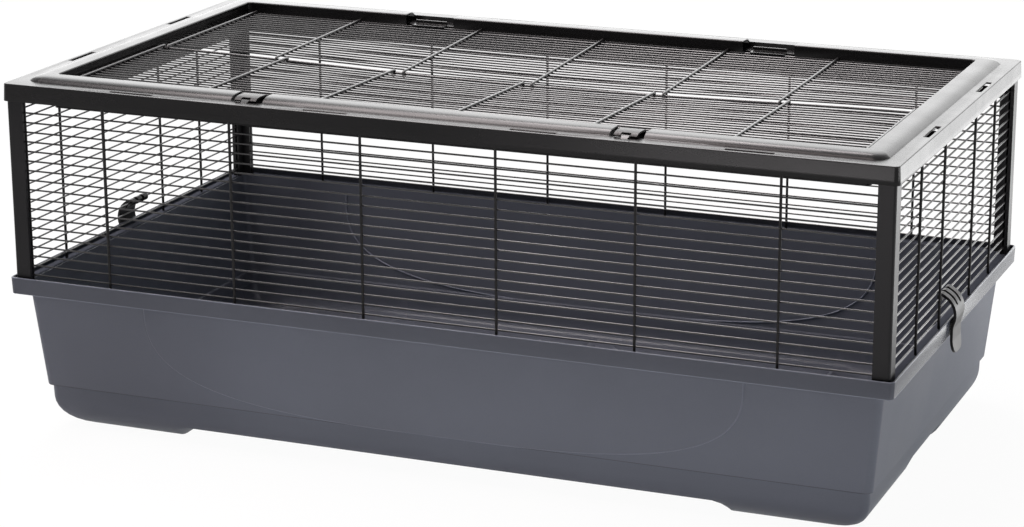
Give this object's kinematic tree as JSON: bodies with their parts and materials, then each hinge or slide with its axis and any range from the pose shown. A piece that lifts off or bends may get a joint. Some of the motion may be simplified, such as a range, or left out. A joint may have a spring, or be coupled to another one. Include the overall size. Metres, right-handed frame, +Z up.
{
  "type": "rodent cage",
  "caption": "Long low rodent cage: a deep moulded tub, a lift-off cage of welded wire in a moulded top frame, and a hinged wire roof door held by clips.",
  "frame": {"origin": "on the floor under the middle of the tub", "axes": "+X along the length to the right, -Y towards the front, +Z up"},
  "size_m": [1.0134, 0.5364, 0.4002],
  "materials": {
    "tub_plastic": "fine grain",
    "frame_plastic": "semi-gloss",
    "wire": "powder coat",
    "clip_plastic": "semi-gloss"
  },
  "bodies": {
    "base": {"base_tub": "tub_plastic"},
    "cage_top": {"top_frame": "frame_plastic", "post_front_left": "frame_plastic", "post_front_right": "frame_plastic", "post_back_left": "frame_plastic", "post_back_right": "frame_plastic", "front_panel_bars": "wire", "front_panel_uprights": "wire", "back_panel_bars": "wire", "back_panel_uprights": "wire", "left_panel_bars": "wire", "left_panel_uprights": "wire", "right_panel_bars": "wire", "right_panel_uprights": "wire", "roof_rear_bars": "wire", "roof_rear_cross_wires": "wire", "roof_hinge_wire": "wire"},
    "roof_door": {"roof_door_bars": "wire", "roof_door_cross_wires": "wire"},
    "roof_latch_left": {"roof_clip_left": "clip_plastic"},
    "roof_latch_right": {"roof_clip_right": "clip_plastic"},
    "side_latch_left": {"side_clip_left": "clip_plastic"},
    "side_latch_right": {"side_clip_right": "clip_plastic"}
  },
  "joints": [
    {"name": "cage_lift", "type": "slide", "parent": "base", "child": "cage_top", "axis": [0, 0, 1], "range_m": [0, 0.25]},
    {"name": "roof_door_hinge", "type": "hinge", "parent": "cage_top", "child": "roof_door", "pos_m": [0, 0, 0.3864], "axis": [-1, 0, 0], "range_deg": [0, 140]},
    {"name": "roof_clip_left_hinge", "type": "hinge", "parent": "roof_door", "child": "roof_latch_left", "pos_m": [-0.212, -0.21975, 0.38695], "axis": [-1, 0, 0], "range_deg": [0, 70]},
    {"name": "roof_clip_right_hinge", "type": "hinge", "parent": "roof_door", "child": "roof_latch_right", "pos_m": [0.212, -0.21975, 0.38695], "axis": [-1, 0, 0], "range_deg": [0, 70]},
    {"name": "side_clip_left_hinge", "type": "hinge", "parent": "cage_top", "child": "side_latch_left", "pos_m": [-0.48945, -0.004, 0.2023], "axis": [0, 1, 0], "range_deg": [0, 90]},
    {"name": "side_clip_right_hinge", "type": "hinge", "parent": "cage_top", "child": "side_latch_right", "pos_m": [0.48945, -0.026, 0.2023], "axis": [0, -1, 0], "range_deg": [0, 90]}
  ]
}
